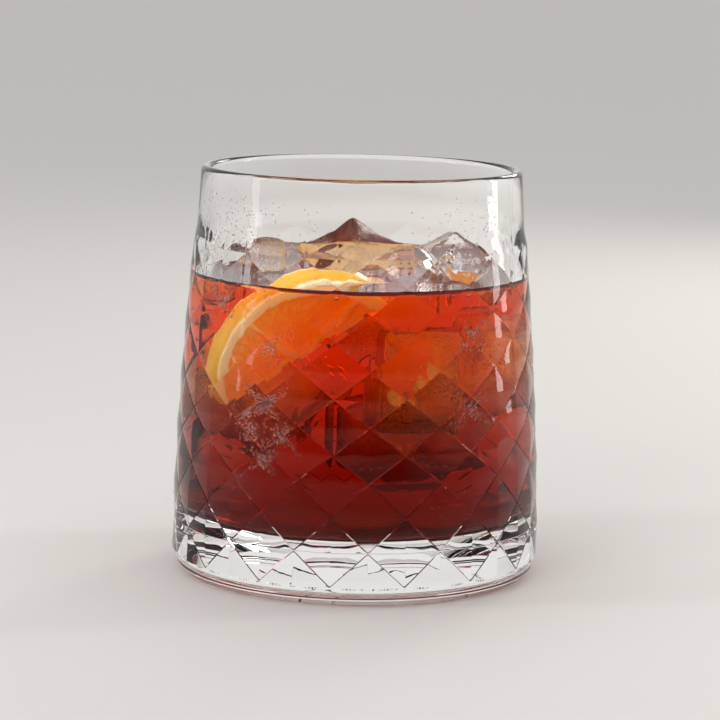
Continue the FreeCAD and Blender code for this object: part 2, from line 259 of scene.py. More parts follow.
def makeWorld():
    world = bpy.data.worlds.new("studio")
    bpy.context.scene.world = world
    world.use_nodes = True
    tree = world.node_tree
    split = addNode(tree, "ShaderNodeSeparateXYZ")
    feed(tree, split.inputs[0], addNode(tree, "ShaderNodeTexCoord").outputs["Generated"])
    # the backdrop is pale behind the glass and darkens overhead and behind the viewer
    across, up = split.outputs["Y"], split.outputs["Z"]
    behind = rangeNode(tree, across, studio["viewerSide"], (studio["behindViewer"], 1.0))
    above = rangeNode(tree, up, studio["overheadSide"], (studio["overhead"], 1.0))
    seen = mathNode(tree, "MULTIPLY", behind, above)
    # what is seen is the backdrop; what lights a surface is an even soft fill, stronger
    # where it has to pass through the glass first
    path = addNode(tree, "ShaderNodeLightPath")
    fill = mathNode(tree, "MULTIPLY_ADD", path.outputs["Is Transmission Ray"],
                    studio["fillThroughGlass"] - studio["fill"], studio["fill"])
    lights = mathNode(tree, "GREATER_THAN", path.outputs["Diffuse Depth"], 0.5)
    sky = tree.nodes["Background"]
    feed(tree, sky.inputs["Strength"], mixNode(tree, lights, seen, fill, "FLOAT"))
    sky.inputs["Color"].default_value = (*studio["backdrop"], 1)


def makeLamp(name, place, size, power, colour=(1, 1, 1)):
    lamp = bpy.data.lights.new(name, "AREA")
    lamp.shape = "RECTANGLE"
    lamp.size, lamp.size_y = size
    lamp.energy = power
    lamp.color = colour
    body = bpy.data.objects.new(name, lamp)
    bpy.context.scene.collection.objects.link(body)
    body.location = place
    aim = Vector(studio["lampTarget"]) - Vector(place)
    body.rotation_euler = aim.to_track_quat("-Z", "Y").to_euler()


def makeFloor():
    material, tree, shader, place = newMaterial("pale_floor")
    shader.inputs["Base Color"].default_value = (*studio["floorColour"], 1)
    shader.inputs["Roughness"].default_value = studio["floorRoughness"]
    grain = noiseNode(tree, place, studio["floorGrain"])
    bump = bumpNode(tree, grain, studio["floorGrainStrength"], studio["floorGrainDepth"])
    feed(tree, shader.inputs["Normal"], bump.outputs[0])
    bm = bmesh.new()
    bmesh.ops.create_grid(bm, x_segments=8, y_segments=8, size=studio["floorSize"])
    floor = newPiece("floor", bm, material)


makeCamera()
makeWorld()
makeFloor()
for name, lamp in lamps.items():
    makeLamp(name, **lamp)
print("camera, floor and light made")


tumbler = dict(
    rimRadius=37.4 * mm, rimWall=2.4 * mm, rimRounding=0.44, smoothBand=11.2 * mm,
    neckFlare=0.65 * mm, floorHeight=13.0 * mm, floorWall=4.6 * mm, floorRound=8.0 * mm,
    footStep=0.8 * mm, footHeight=4.0 * mm, footBevel=1.5 * mm, footGroove=0.4 * mm,
    contactWidth=3.0 * mm, baseHollow=1.0 * mm, aroundSteps=160, cornerSteps=14,
    wallRings=(84, 74, 69, 59, 49, 39, 29),
    # the relief
    diamonds=16, turn=-7.2, collar=0.6 * mm, footRows=3, footPitch=7.8 * mm, flankRows=9,
    bellyRadius=43.0 * mm, bellyHeight=8.0 * mm, flankPower=1.6, step=0.2 * mm, tuck=0.3 * mm,
    rise=0.45 * mm, fade=0.6, fadePower=1.5, facetCuts=3, foldAngle=14,
    creaseWidth=0.26 * mm, grooveDepth=0.17 * mm, grooveTop=66.0 * mm, grooveLeft=0.06,
    # how the relief's ring is set into the shell
    hiddenDepth=1.0 * mm, ringDepth=0.3, skinDepth=1.6 * mm,
    # the glass: it mirrors less seen straight on, so the pale room doesn't veil the drink
    ior=1.5, mirror=0.3, waveScale=90, grainScale=400, grainAmount=0.01, unevenness=0.03 * mm,
)
reliefTop = glassHeight - tumbler["smoothBand"]
neckRadius = tumbler["rimRadius"] + tumbler["neckFlare"]
floorRadius = tumbler["bellyRadius"] - tumbler["floorWall"]
rimInside = tumbler["rimRadius"] - tumbler["rimWall"]
wallLean = (floorRadius - rimInside) / (glassHeight - tumbler["floorHeight"])


def cavityRadius(z):
    share = (glassHeight - z) / (glassHeight - tumbler["floorHeight"])
    return rimInside + (floorRadius - rimInside) * share


def knotRadius(z):
    share = max(0.0, (z - tumbler["bellyHeight"]) / (reliefTop - tumbler["bellyHeight"]))
    drawIn = tumbler["bellyRadius"] - neckRadius - tumbler["step"]
    return tumbler["bellyRadius"] - drawIn * share ** tumbler["flankPower"]


def rowHeights():
    start = tumbler["footHeight"] + tumbler["collar"]
    change = start + tumbler["footRows"] * tumbler["footPitch"]
    pitch = (reliefTop - change) / tumbler["flankRows"]
    lower = [start + i * tumbler["footPitch"] for i in range(tumbler["footRows"])]
    return lower + [change + i * pitch for i in range(tumbler["flankRows"] + 1)]


def reliefRows():
    # the base radius of each row; the last one tucks under the neck
    heights = rowHeights()
    radii = [knotRadius(z) for z in heights]
    radii[-1] = neckRadius - tumbler["tuck"]
    return heights, radii


def gridPlace(vert, heights):
    # where a point lies in the grid of the relief, counted in columns and rows
    column = math.atan2(vert.co.y, vert.co.x) / (math.pi / tumbler["diamonds"])
    row = 0
    while row < len(heights) - 2 and vert.co.z > heights[row + 1]:
        row += 1
    share = (vert.co.z - heights[row]) / (heights[row + 1] - heights[row])
    return column, row + min(1.0, max(0.0, share))


def pyramid(column, row):
    # 0 along the crossing lines and 1 in the middle of each diamond
    i, k = math.floor(column), math.floor(row)
    across, up = column - i, row - k
    return abs(across - up) if (i + k) % 2 == 0 else abs(across + up - 1)


def isCrease(places):
    # an edge is a crease when it runs along a crossing line or along a ridge of a pyramid
    near = 0.03
    flat = all(abs(row - round(row)) < near for _, row in places)
    upright = all(abs(column - round(column)) < near for column, _ in places)
    crossing = all(pyramid(*place) < near for place in places)
    sameRow = abs(places[0][1] - places[1][1]) < near
    sameColumn = abs(places[0][0] - places[1][0]) < near
    return crossing or (flat and sameRow) or (upright and sameColumn)


def isOutside(vert):
    return Vector(vert.co.xy).length > cavityRadius(vert.co.z) + tumbler["skinDepth"]


def splitQuads(bm, heights):
    # each four-sided face of the skin is cut between its two knots
    for face in [f for f in bm.faces if all(isOutside(v) for v in f.verts)]:
        knots = [v for v in face.verts
                 if pyramid(*[round(c) for c in gridPlace(v, heights)]) == 0]
        tall = max(v.co.z for v in face.verts) - min(v.co.z for v in face.verts)
        if tall > 2 * tumbler["collar"] and len(knots) == 2:
            bmesh.utils.face_split(face, knots[0], knots[1])


def raiseDiamonds(bm, heights, radii):
    # pushes the skin out into pyramids that are lower further up
    t = tumbler
    places = {}
    for vert in [v for v in bm.verts if isOutside(v)]:
        column, row = gridPlace(vert, heights)
        k = min(int(row), len(radii) - 2)
        base = radii[k] + (radii[k + 1] - radii[k]) * (row - k)
        rise = t["rise"] * min(1.0, len(radii) - 1 - row)
        rise *= 1 - t["fade"] * (vert.co.z / reliefTop) ** t["fadePower"]
        if vert.co.z < heights[0]:
            base = t["bellyRadius"]
            rise *= (vert.co.z - t["footHeight"]) / t["collar"]
        vert.co.xy = vert.co.xy.normalized() * (base + rise * pyramid(column, row))
        places[vert] = (column, row)
    return places


def cutGrooves(bm, heights):
    # a fine groove runs along the crossing lines and fades out upwards
    onLine = 0.02
    for vert in bm.verts:
        if isOutside(vert) and heights[0] < vert.co.z < heights[-2]:
            if pyramid(*gridPlace(vert, heights)) < onLine:
                share = max(tumbler["grooveLeft"], 1 - vert.co.z / tumbler["grooveTop"])
                vert.co.xy -= vert.co.xy.normalized() * (tumbler["grooveDepth"] * share)


def reliefSkin():
    # a ring of wall whose outside is pushed into four-sided diamonds
    t = tumbler
    heights, radii = reliefRows()
    outside = [(t["bellyRadius"], t["footHeight"])] + list(zip(radii, heights))
    inside = []
    for r, z in (outside[-1], outside[0]):
        inside.append((cavityRadius(z) + (r - cavityRadius(z)) * t["ringDepth"], z))
    bm = bmesh.new()
    spinOutline(bm, outside + inside + outside[:1], 2 * t["diamonds"])
    splitQuads(bm, heights)
    skin = [e for e in bm.edges if all(isOutside(v) for v in e.verts)]
    bmesh.ops.subdivide_edges(bm, edges=skin, cuts=t["facetCuts"], use_grid_fill=True)
    places = raiseDiamonds(bm, heights, radii)
    creases = [e for e in bm.edges
               if all(v in places and v.co.z > heights[0] - 1e-6 for v in e.verts)
               and isCrease([places[v] for v in e.verts])]
    bmesh.ops.bevel(bm, geom=creases, offset=t["creaseWidth"], offset_type="OFFSET", segments=2,
                    profile=0.5, affect="EDGES", clamp_overlap=True, material=-1)
    cutGrooves(bm, heights)
    bmesh.ops.rotate(bm, verts=bm.verts[:], cent=(0, 0, 0),
                     matrix=Matrix.Rotation(deg(t["turn"] - 90), 3, "Z"))
    return bm


def smoothShell():
    # foot, hidden wall, neck, rounded rim, cavity, back down to the middle of its floor
    t = tumbler
    foot = t["bellyRadius"] - t["footStep"]
    contact = foot - t["footBevel"]
    inner = contact - t["contactWidth"]
    line = (t["footHeight"] + t["footBevel"]) / 2
    groove = t["footGroove"]
    lip = t["rimWall"] * t["rimRounding"]
    corners = [
        (0, t["baseHollow"], 0),
        (inner - t["baseHollow"], t["baseHollow"], 0.8 * mm),
        (inner, 0, 0.6 * mm),
        (contact, 0, 0.5 * mm),
        (foot, t["footBevel"], 0.6 * mm),
        (foot, line - groove, 0.15 * mm),
        (foot - groove, line, 0.12 * mm),
        (foot, line + groove, 0.15 * mm),
        (foot, t["footHeight"] + t["collar"], 0),
    ]
    for z in rowHeights()[t["footRows"]:-2:3]:
        corners.append((knotRadius(z) - t["hiddenDepth"], z, 0))
    corners.append((neckRadius, reliefTop, 0))
    # rings close to a fold keep the shading of the long faces beside it straight
    for share in (0.04, 0.12, 0.3, 0.6):
        radius = neckRadius + (t["rimRadius"] - neckRadius) * share
        corners.append((radius, reliefTop + t["smoothBand"] * share, 0))
    corners += [(t["rimRadius"], glassHeight, lip), (rimInside, glassHeight, lip)]
    for z in t["wallRings"]:
        corners.append((cavityRadius(z * mm), z * mm, 0))
    corners += [
        (floorRadius, t["floorHeight"], t["floorRound"]),
        (0, t["floorHeight"], 0),
    ]
    bm = bmesh.new()
    spinOutline(bm, outlineOf(corners, t["cornerSteps"]), t["aroundSteps"])
    return bm


def makeTumbler(material):
    shell = newPiece("tumbler_glass", smoothShell(), material)
    skin = newPiece("relief_skin", reliefSkin(), None)
    boolean(shell, skin, "UNION")
    bm = bmesh.new()
    bm.from_mesh(shell.data)
    shade(bm, tumbler["foldAngle"])
    bm.to_mesh(shell.data)
    bm.free()
    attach(shell, "root")
    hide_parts("tumbler")
    return shell


def makeWaveGroup():
    # noise used by every clear material: a slow wave and a fine grain, as one height
    group = bpy.data.node_groups.new("wave_and_grain", "ShaderNodeTree")
    group.interface.new_socket(name="Vector", in_out="INPUT", socket_type="NodeSocketVector")
    for label, value in (("Wave Scale", 120.0), ("Grain Scale", 1500.0), ("Grain", 0.2)):
        socket = group.interface.new_socket(name=label, in_out="INPUT",
                                            socket_type="NodeSocketFloat")
        socket.default_value = value
    group.interface.new_socket(name="Height", in_out="OUTPUT", socket_type="NodeSocketFloat")
    given = addNode(group, "NodeGroupInput").outputs
    result = addNode(group, "NodeGroupOutput").inputs
    wave = noiseNode(group, given["Vector"], given["Wave Scale"], 2.0)
    grain = noiseNode(group, given["Vector"], given["Grain Scale"], 3.0)
    feed(group, result["Height"], mathNode(group, "MULTIPLY_ADD", grain, given["Grain"], wave))
    return group


def dryMask(tree, place):
    # 1 where a surface meets air and 0 where glass and drink meet, since hardly any light is
    # thrown back there; it isn't a group because it sets how strongly the material mirrors
    wallSlack, levelSlack, floorSlack = 0.4 * mm, 0.02 * mm, 1.0 * mm
    split = addNode(tree, "ShaderNodeSeparateXYZ")
    feed(tree, split.inputs[0], place)
    height = split.outputs["Z"]
    flat = addNode(tree, "ShaderNodeVectorMath", operation="MULTIPLY")
    feed(tree, flat.inputs[0], place)
    flat.inputs[1].default_value = (1, 1, 0)
    away = addNode(tree, "ShaderNodeVectorMath", operation="LENGTH")
    feed(tree, away.inputs[0], flat.outputs[0])
    # the wall of the cavity leans, so its radius is a straight line of the height
    cone = mathNode(tree, "MULTIPLY_ADD", height, wallLean, away.outputs["Value"])
    inside = mathNode(tree, "LESS_THAN", cone, rimInside + wallLean * glassHeight + wallSlack)
    under = mathNode(tree, "LESS_THAN", height, drinkLevel - levelSlack)
    over = mathNode(tree, "GREATER_THAN", height, tumbler["floorHeight"] - floorSlack)
    wet = mathNode(tree, "MULTIPLY", mathNode(tree, "MULTIPLY", inside, under), over)
    return mathNode(tree, "SUBTRACT", 1.0, wet)


waveGroup = makeWaveGroup()


def clearMaterial(name, look, holdsDrink=False):
    # clear wet stuff: full transmission with a hand-made unevenness of the surface; look is the
    # dictionary of the piece
    material, tree, shader, place = newMaterial(name)
    shader.inputs["Base Color"].default_value = (1, 1, 1, 1)
    shader.inputs["Roughness"].default_value = 0.0
    shader.inputs["IOR"].default_value = look["ior"]
    shader.inputs["Transmission Weight"].default_value = 1.0
    uneven = addNode(tree, "ShaderNodeGroup", node_tree=waveGroup)
    for label, value in (("Vector", place), ("Wave Scale", look["waveScale"]),
                         ("Grain Scale", look["grainScale"]), ("Grain", look["grainAmount"])):
        feed(tree, uneven.inputs[label], value)
    strength = 1.0
    if holdsDrink:
        strength = dryMask(tree, place)
        mirror = mathNode(tree, "MULTIPLY", strength, tumbler["mirror"])
        feed(tree, shader.inputs["Specular Tint"], mirror)
    bump = bumpNode(tree, uneven.outputs["Height"], strength, look["unevenness"])
    bump.name = "unevenness"
    feed(tree, shader.inputs["Normal"], bump.outputs[0])
    return material


ice = dict(
    ior=1.31, waveScale=420, grainScale=2600, grainAmount=0.25, unevenness=0.2 * mm,
    wave=0.35 * mm, waveSize=7.0 * mm, fine=0.08 * mm, fineSize=2.2 * mm,
    taper=2.5, meltSteps=4, longEdge=3 * mm, faceCuts=15,
    # frost along the edges and in patches
    frostStart=0.80, frostWidth=0.14, patchSize=9 * mm, patchFrom=0.22, patchGain=3.0,
    frostRelief=5.0, frostScale=1400, frostRoughness=0.5,
    # air and cracks
    pinholes=70, pinholeSize=(0.07, 0.26), pinholeSpread=0.18, pinholeReach=0.38,
    cracks=4, crackSize=(0.14, 0.26), crackReach=0.22, crackThin=0.012, crackRipple=0.5 * mm,
    crackRippleSize=2.5 * mm, crackEdge=0.25, crackEdgeSize=3 * mm,
)

# size across, along and tall, melted edge, turn, and where: a node's box, or a middle for the
# blocks that are sunk in the drink
blocks = {
    "ice_peak": dict(size=(22.0, 23.0, 20.0), melt=2.2, turn=(152.7, 36.8, -137.7), seed=3),
    "ice_right": dict(size=(11.0, 14.5, 19.0), melt=1.3, turn=(-168.7, 42.9, -77.0), seed=5),
    "ice_left": dict(size=(9.0, 12.0, 14.0), melt=3.2, turn=(-14.0, 8.0, 10.0), seed=9),
    "ice_sunk_front": dict(size=(18.0, 18.0, 23.0), melt=1.8, turn=(8.0, 3.0, -5.0), seed=12,
                           middle=(11.0, -12.5, 47.0)),
    "ice_sunk_side": dict(size=(15.0, 20.0, 19.0), melt=2.5, turn=(35.0, 12.0, 20.0), seed=15,
                          middle=(22.0, 9.5, 48.5)),
    "ice_sunk_back": dict(size=(22.0, 20.0, 20.0), melt=2.5, turn=(-25.0, 30.0, 15.0), seed=21,
                          middle=(-17.0, 9.5, 40.0)),
    "ice_sunk_low": dict(size=(20.0, 20.0, 18.0), melt=3.0, turn=(50.0, 20.0, -20.0), seed=27,
                         middle=(8.0, 13.0, 29.5)),
}
floating = [label for label in blocks if "middle" not in blocks[label]]
sunk = [label for label in blocks if "middle" in blocks[label]]


def turnOf(spec):
    yaw, pitch, roll = [Matrix.Rotation(deg(a), 3, axis) for a, axis in zip(spec["turn"], "ZYX")]
    return yaw @ pitch @ roll


def boxMiddle(bm):
    low = Vector([min(v.co[i] for v in bm.verts) for i in range(3)])
    high = Vector([max(v.co[i] for v in bm.verts) for i in range(3)])
    return (low + high) / 2


def meltedBlock(spec):
    bm = bmesh.new()
    bmesh.ops.create_cube(bm, size=1.0)
    size = Vector(spec["size"]) * mm
    bmesh.ops.scale(bm, vec=size, verts=bm.verts[:])
    # a tray cube is narrower at one end
    narrower = 1 - 2 * size.z * math.tan(deg(ice["taper"])) / (size.x + size.y) * 2
    for vert in bm.verts:
        if vert.co.z > 0:
            vert.co.xy = vert.co.xy * narrower
    bmesh.ops.bevel(bm, geom=bm.edges[:], offset=spec["melt"] * mm, offset_type="OFFSET",
                    segments=ice["meltSteps"], profile=0.5, affect="EDGES", clamp_overlap=True,
                    material=-1)
    long = [e for e in bm.edges if e.calc_length() > ice["longEdge"]]
    bmesh.ops.subdivide_edges(bm, edges=long, cuts=ice["faceCuts"], use_grid_fill=True)
    bmesh.ops.triangulate(bm, faces=[f for f in bm.faces if len(f.verts) > 4])
    bmesh.ops.smooth_vert(bm, verts=bm.verts[:], factor=0.5, use_axis_x=True, use_axis_y=True,
                          use_axis_z=True)
    bm.normal_update()
    shift = Vector((spec["seed"], 0, 0))
    moves = []
    for vert in bm.verts:
        slow = noise.noise(vert.co / ice["waveSize"] + shift) * ice["wave"]
        fine = noise.noise(vert.co / ice["fineSize"] + shift) * ice["fine"]
        moves.append((vert, vert.normal * (slow + fine - ice["wave"] * 0.5)))
    for vert, move in moves:
        vert.co += move
    addFrost(bm, size, shift)
    bmesh.ops.rotate(bm, verts=bm.verts[:], cent=(0, 0, 0), matrix=turnOf(spec))
    bmesh.ops.recalc_face_normals(bm, faces=bm.faces[:])
    return bm


def addFrost(bm, size, shift):
    # how frosty each point is: along the edges and in a few patches
    frost = bm.verts.layers.float.new("frost")
    for vert in bm.verts:
        reach = sorted(abs(vert.co[i]) / (size[i] / 2) for i in range(3))
        edge = min(1.0, max(0.0, (reach[1] - ice["frostStart"]) / ice["frostWidth"]))
        cloud = noise.noise(vert.co / ice["patchSize"] - shift)
        patch = max(0.0, cloud - ice["patchFrom"]) * ice["patchGain"]
        vert[frost] = min(1.0, edge + patch)


def placedBlock(label, shrink=0.0):
    # a block where it lies; a shrunk one cuts the drink, so that the ice reaches into the drink
    bm = meltedBlock(blocks[label])
    if label in sunk:
        middle = Vector(blocks[label]["middle"]) * mm
    else:
        low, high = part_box(label)
        middle = (low + high) / 2
    place = middle - boxMiddle(bm)
    if shrink:
        bm.normal_update()
        for vert in bm.verts:
            vert.co -= vert.normal * shrink
    bmesh.ops.translate(bm, verts=bm.verts[:], vec=place)
    return bm


def addFlaws(bm, label):
    # pinholes of air, and a few thin cracks, turned inside out because they are hollows in the ice
    spec = blocks[label]
    dice = random.Random(spec["seed"])
    size = Vector(spec["size"]) * mm
    turn = turnOf(spec)
    middle = boxMiddle(bm)
    reach = ice["pinholeReach"]
    made = []
    for _ in range(ice["pinholes"]):
        spot = Vector([max(-reach, min(reach, dice.gauss(0, ice["pinholeSpread"]))) * s
                       for s in size])
        radius = dice.uniform(*ice["pinholeSize"]) * mm
        hollow = bmesh.ops.create_icosphere(bm, subdivisions=1, radius=radius)["verts"]
        bmesh.ops.translate(bm, verts=hollow, vec=middle + turn @ spot)
        made += hollow
    for _ in range(ice["cracks"]):
        spot = Vector([dice.uniform(-ice["crackReach"], ice["crackReach"]) * s for s in size])
        tilt = Euler([dice.uniform(0, math.pi) for _ in range(3)]).to_matrix()
        radius = dice.uniform(*ice["crackSize"]) * min(size)
        crack = bmesh.ops.create_uvsphere(bm, u_segments=24, v_segments=12, radius=radius)["verts"]
        for vert in crack:
            flat = Vector((vert.co.x, vert.co.y, 0))
            ripple = noise.noise(flat / ice["crackRippleSize"] + spot * 900)
            vert.co.z = vert.co.z * ice["crackThin"] + ripple * ice["crackRipple"]
            ragged = noise.noise(vert.co / ice["crackEdgeSize"] - spot * 500)
            vert.co.xy = vert.co.xy * (1 + ice["crackEdge"] * ragged)
        bmesh.ops.rotate(bm, verts=crack, cent=(0, 0, 0), matrix=tilt)
        bmesh.ops.translate(bm, verts=crack, vec=middle + turn @ spot)
        made += crack
    inside = {f for v in made for f in v.link_faces}
    bmesh.ops.reverse_faces(bm, faces=list(inside))


def makeIceMaterial():
    material = clearMaterial("clear_ice", ice)
    tree = material.node_tree
    place = addNode(tree, "ShaderNodeTexCoord").outputs["Object"]
    frost = addNode(tree, "ShaderNodeAttribute", attribute_name="frost")
    speckle = noiseNode(tree, place, ice["frostScale"], 4)
    amount = mathNode(tree, "MULTIPLY", frost.outputs["Fac"], speckle)
    rough = rangeNode(tree, amount, (0.1, 0.55), (0.0, ice["frostRoughness"]), smooth=False)
    feed(tree, tree.nodes["Principled BSDF"].inputs["Roughness"], rough)
    # and it stands up in the relief of the surface
    height = tree.nodes["unevenness"].inputs["Height"]
    uneven = height.links[0].from_socket
    feed(tree, height, mathNode(tree, "MULTIPLY_ADD", amount, ice["frostRelief"], uneven))
    return material


def makeIce(material):
    for label in blocks:
        bm = placedBlock(label)
        addFlaws(bm, label)
        piece = newPiece(label + "_clear", bm, material)
        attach(piece, "root")
        if label in floating:
            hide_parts(label)


drink = dict(
    intoGlass=0.12 * mm, intoIce=0.05 * mm, meniscus=1.3 * mm, meniscusWidth=1.0 * mm,
    climbSteps=13, climbStep=0.25 * mm, creep=0.6 * mm, creepWidth=0.9 * mm, creepReach=5 * mm,
    wallRings=(24, 34, 44, 54, 64, 68), ringStep=0.8 * mm, firstRing=5, aroundSteps=160,
    cornerSteps=10,
    ior=1.36, waveScale=60, grainScale=700, grainAmount=0.0, unevenness=0.02 * mm,
    absorbColour=(0.975, 0.59, 0.0), absorbDensity=125.0,
    # the low tint is painted shade that darkens the drink towards the bottom
    lowPaintedShade=(0.20, 0.03, 0.03), paintedShadeHeights=(14 * mm, 58 * mm),
)


def drinkBody():
    # the filling follows the cavity a hair inside the glass, and climbs the wall at its edge
    low = tumbler["floorHeight"] - drink["intoGlass"]
    wall = cavityRadius(drinkLevel) + drink["intoGlass"]
    corners = [(0, low, 0), (floorRadius + drink["intoGlass"], low, tumbler["floorRound"])]
    for z in drink["wallRings"]:  # they keep the wall's shading straight
        corners.append((cavityRadius(z * mm) + drink["intoGlass"], z * mm, 0))
    corners.append((wall, drinkLevel + drink["meniscus"], 0))
    points = outlineOf(corners, drink["cornerSteps"])
    for i in range(1, drink["climbSteps"] + 1):  # the climb, finely
        off = drink["climbStep"] * i
        climb = drink["meniscus"] * math.exp(-off / drink["meniscusWidth"])
        points.append((wall - off, drinkLevel + climb))
    for i in range(drink["firstRing"], int(wall / drink["ringStep"])):
        points.append((wall - drink["ringStep"] * i, drinkLevel))
    points.append((0, drinkLevel))
    bm = bmesh.new()
    spinOutline(bm, points, drink["aroundSteps"])
    return bm


bubbles = dict(count=90, small=0.12, large=0.45, least=0.08 * mm, fromWall=1.2, spread=2.0,
               depth=(0.1, 0.5), seed=31)


def airBubbles():
    # air bubbles hang just under the surface, most of them by the wall
    b = bubbles
    dice = random.Random(b["seed"])
    air = bmesh.new()
    for _ in range(b["count"]):
        radius = dice.uniform(b["small"], b["large"]) * mm * dice.random() ** 0.5
        angle = dice.uniform(0, 2 * math.pi)
        away = cavityRadius(drinkLevel) - b["fromWall"] * mm - abs(dice.gauss(0, b["spread"])) * mm
        height = drinkLevel - radius - abs(dice.gauss(*b["depth"])) * mm
        spot = Vector((away * math.cos(angle), away * math.sin(angle), height))
        bmesh.ops.create_icosphere(air, subdivisions=2, radius=max(radius, b["least"]),
                                   matrix=Matrix.Translation(spot))
    return air


def makeDrink(material):
    bm = drinkBody()
    surface = [v for v in bm.verts if v.co.z >= drinkLevel - 1e-6]
    cutters = []
    for label in floating:
        block = placedBlock(label, drink["intoIce"])
        # the drink creeps up the ice where they meet
        tree = BVHTree.FromBMesh(block)
        for vert in surface:
            near = tree.find_nearest(vert.co, drink["creepReach"])
            if near[0] is not None:
                vert.co.z += drink["creep"] * math.exp(-near[3] / drink["creepWidth"])
        cutters.append(newPiece("cut_" + label, block, None))
    body = newPiece("drink_liquid", bm, material)
    for cutter in cutters:
        boolean(body, cutter, "DIFFERENCE")
    bm = bmesh.new()
    bm.from_mesh(body.data)
    for label in sunk:
        addHollow(bm, placedBlock(label, drink["intoIce"]))
    addHollow(bm, airBubbles())
    shade(bm)
    bm.to_mesh(body.data)
    bm.free()
    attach(body, "root")
    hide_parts("drink")


def makeDrinkMaterial():
    material = clearMaterial("drink_liquid", drink, holdsDrink=True)
    tree = material.node_tree
    depth = addNode(tree, "ShaderNodeVolumeAbsorption")
    depth.inputs["Color"].default_value = (*drink["absorbColour"], 1)
    depth.inputs["Density"].default_value = drink["absorbDensity"]
    feed(tree, tree.nodes["Material Output"].inputs["Volume"], depth.outputs[0])
    # painted shade: the drink's colour is darkened towards the bottom, standing in for the shade
    # there
    split = addNode(tree, "ShaderNodeSeparateXYZ")
    feed(tree, split.inputs[0], addNode(tree, "ShaderNodeTexCoord").outputs["Object"])
    height = rangeNode(tree, split.outputs["Z"], drink["paintedShadeHeights"], (0.0, 1.0))
    paintedShade = mixNode(tree, height, (*drink["lowPaintedShade"], 1), (1, 1, 1, 1))
    feed(tree, tree.nodes["Principled BSDF"].inputs["Base Color"], paintedShade)
    return material


orange = dict(
    radius=21.0 * mm, thick=5.0 * mm, rind=3.6 * mm, membrane=0.9 * mm, membranes=(16.0, 104.0),
    heading=-1.3, slope=39.2, lean=38.0, aroundSteps=220, ringSteps=70, sideCuts=10,
    # the cut face
    sink=0.45 * mm, ease=0.9 * mm, flatEdge=0.05, sacHeight=0.22 * mm, sacLength=3.4 * mm,
    sacWidth=1.1 * mm, bow=0.25 * mm, bowSize=14 * mm,
    # the edge of the rind, and its pores
    edge=0.9 * mm, edgePull=0.6, edgeDrop=0.75, poresFrom=0.9, poreDepth=0.12 * mm,
    poreSize=2.6 * mm, poreSink=0.6,
    # colours, by share of the radius where they have a place
    flesh=((0.0, (0.95, 0.42, 0.03)), (1.0, (0.98, 0.66, 0.13))),
    fleshEnd=(0.79, 0.81),
    rindColours=((0.82, (0.98, 0.90, 0.76)), (0.935, (0.96, 0.82, 0.56)),
                 (0.965, (0.74, 0.36, 0.02))),
    ragged=0.02, raggedScale=260,
    # the pith shows a little way round the cut edges, so the peel starts further out there
    roundEdge=(0.25, 0.75), roundEdgeShift=0.045,
    skin=(0.96, 0.74, 0.42), skinWidth=(0.004, 0.011),
    # greener towards the low end of the wheel
    green=(0.62, 0.52, 0.06), greenSpan=(0.45, 0.80), greenMost=0.45, greenFrom=0.945,
    # the glow is painted light: the slice shines with its own colours though it is no lamp, to
    # brighten it inside the glass and drink
    roughness=0.28, translucent=0.8, translucentDepth=0.006, paintedGlow=0.22, wet=0.4, wetRoughness=0.08,
    sacStretch=(70, 5.5, 1), poreScale=900, relief=0.5, reliefDepth=0.3 * mm,
)


def fleshDepth(share, angle):
    # how far the cut face lies under the pith at a place: share of the radius, angle along the cut
    o = orange
    radius = share * o["radius"]
    fromRind = (o["radius"] - o["rind"]) - radius
    fromSkin = [abs(angle - deg(m)) for m in o["membranes"]]
    fromSkin = min(fromSkin + [angle + o["flatEdge"], math.pi - angle + o["flatEdge"]])
    inside = min(fromRind, fromSkin * radius - o["membrane"] / 2)
    if inside <= 0:
        return 0.0
    ease = min(1.0, inside / o["ease"])
    ease = ease * ease * (3 - 2 * ease)
    # sacs of juice run from the middle to the rind
    sacs = noise.noise(Vector((radius / o["sacLength"], angle * radius / o["sacWidth"], angle * 3)))
    return ease * (o["sink"] + o["sacHeight"] * sacs)


def halfWheel():
    # a flat half disc with its back, joined by a side in rings
    o = orange
    bm = bmesh.new()
    line = []
    for i in range(o["ringSteps"] + 1):
        line.append(bm.verts.new((o["radius"] * i / o["ringSteps"], -o["thick"] / 2, 0)))
    edges = [bm.edges.new(pair) for pair in zip(line, line[1:])]
    bmesh.ops.spin(bm, geom=line + edges, cent=(0, 0, 0), axis=(0, -1, 0), angle=math.pi,
                   steps=o["aroundSteps"])
    bmesh.ops.remove_doubles(bm, verts=bm.verts[:], dist=1e-6)
    back = bmesh.ops.duplicate(bm, geom=bm.verts[:] + bm.edges[:] + bm.faces[:])["geom"]
    backVerts = [g for g in back if isinstance(g, bmesh.types.BMVert)]
    bmesh.ops.translate(bm, verts=backVerts, vec=(0, o["thick"], 0))
    bmesh.ops.bridge_loops(bm, edges=[e for e in bm.edges if e.is_boundary])
    sides = [e for e in bm.edges if abs(e.verts[0].co.y - e.verts[1].co.y) > o["thick"] / 2]
    bmesh.ops.subdivide_edges(bm, edges=sides, cuts=o["sideCuts"], use_grid_fill=True)
    return bm


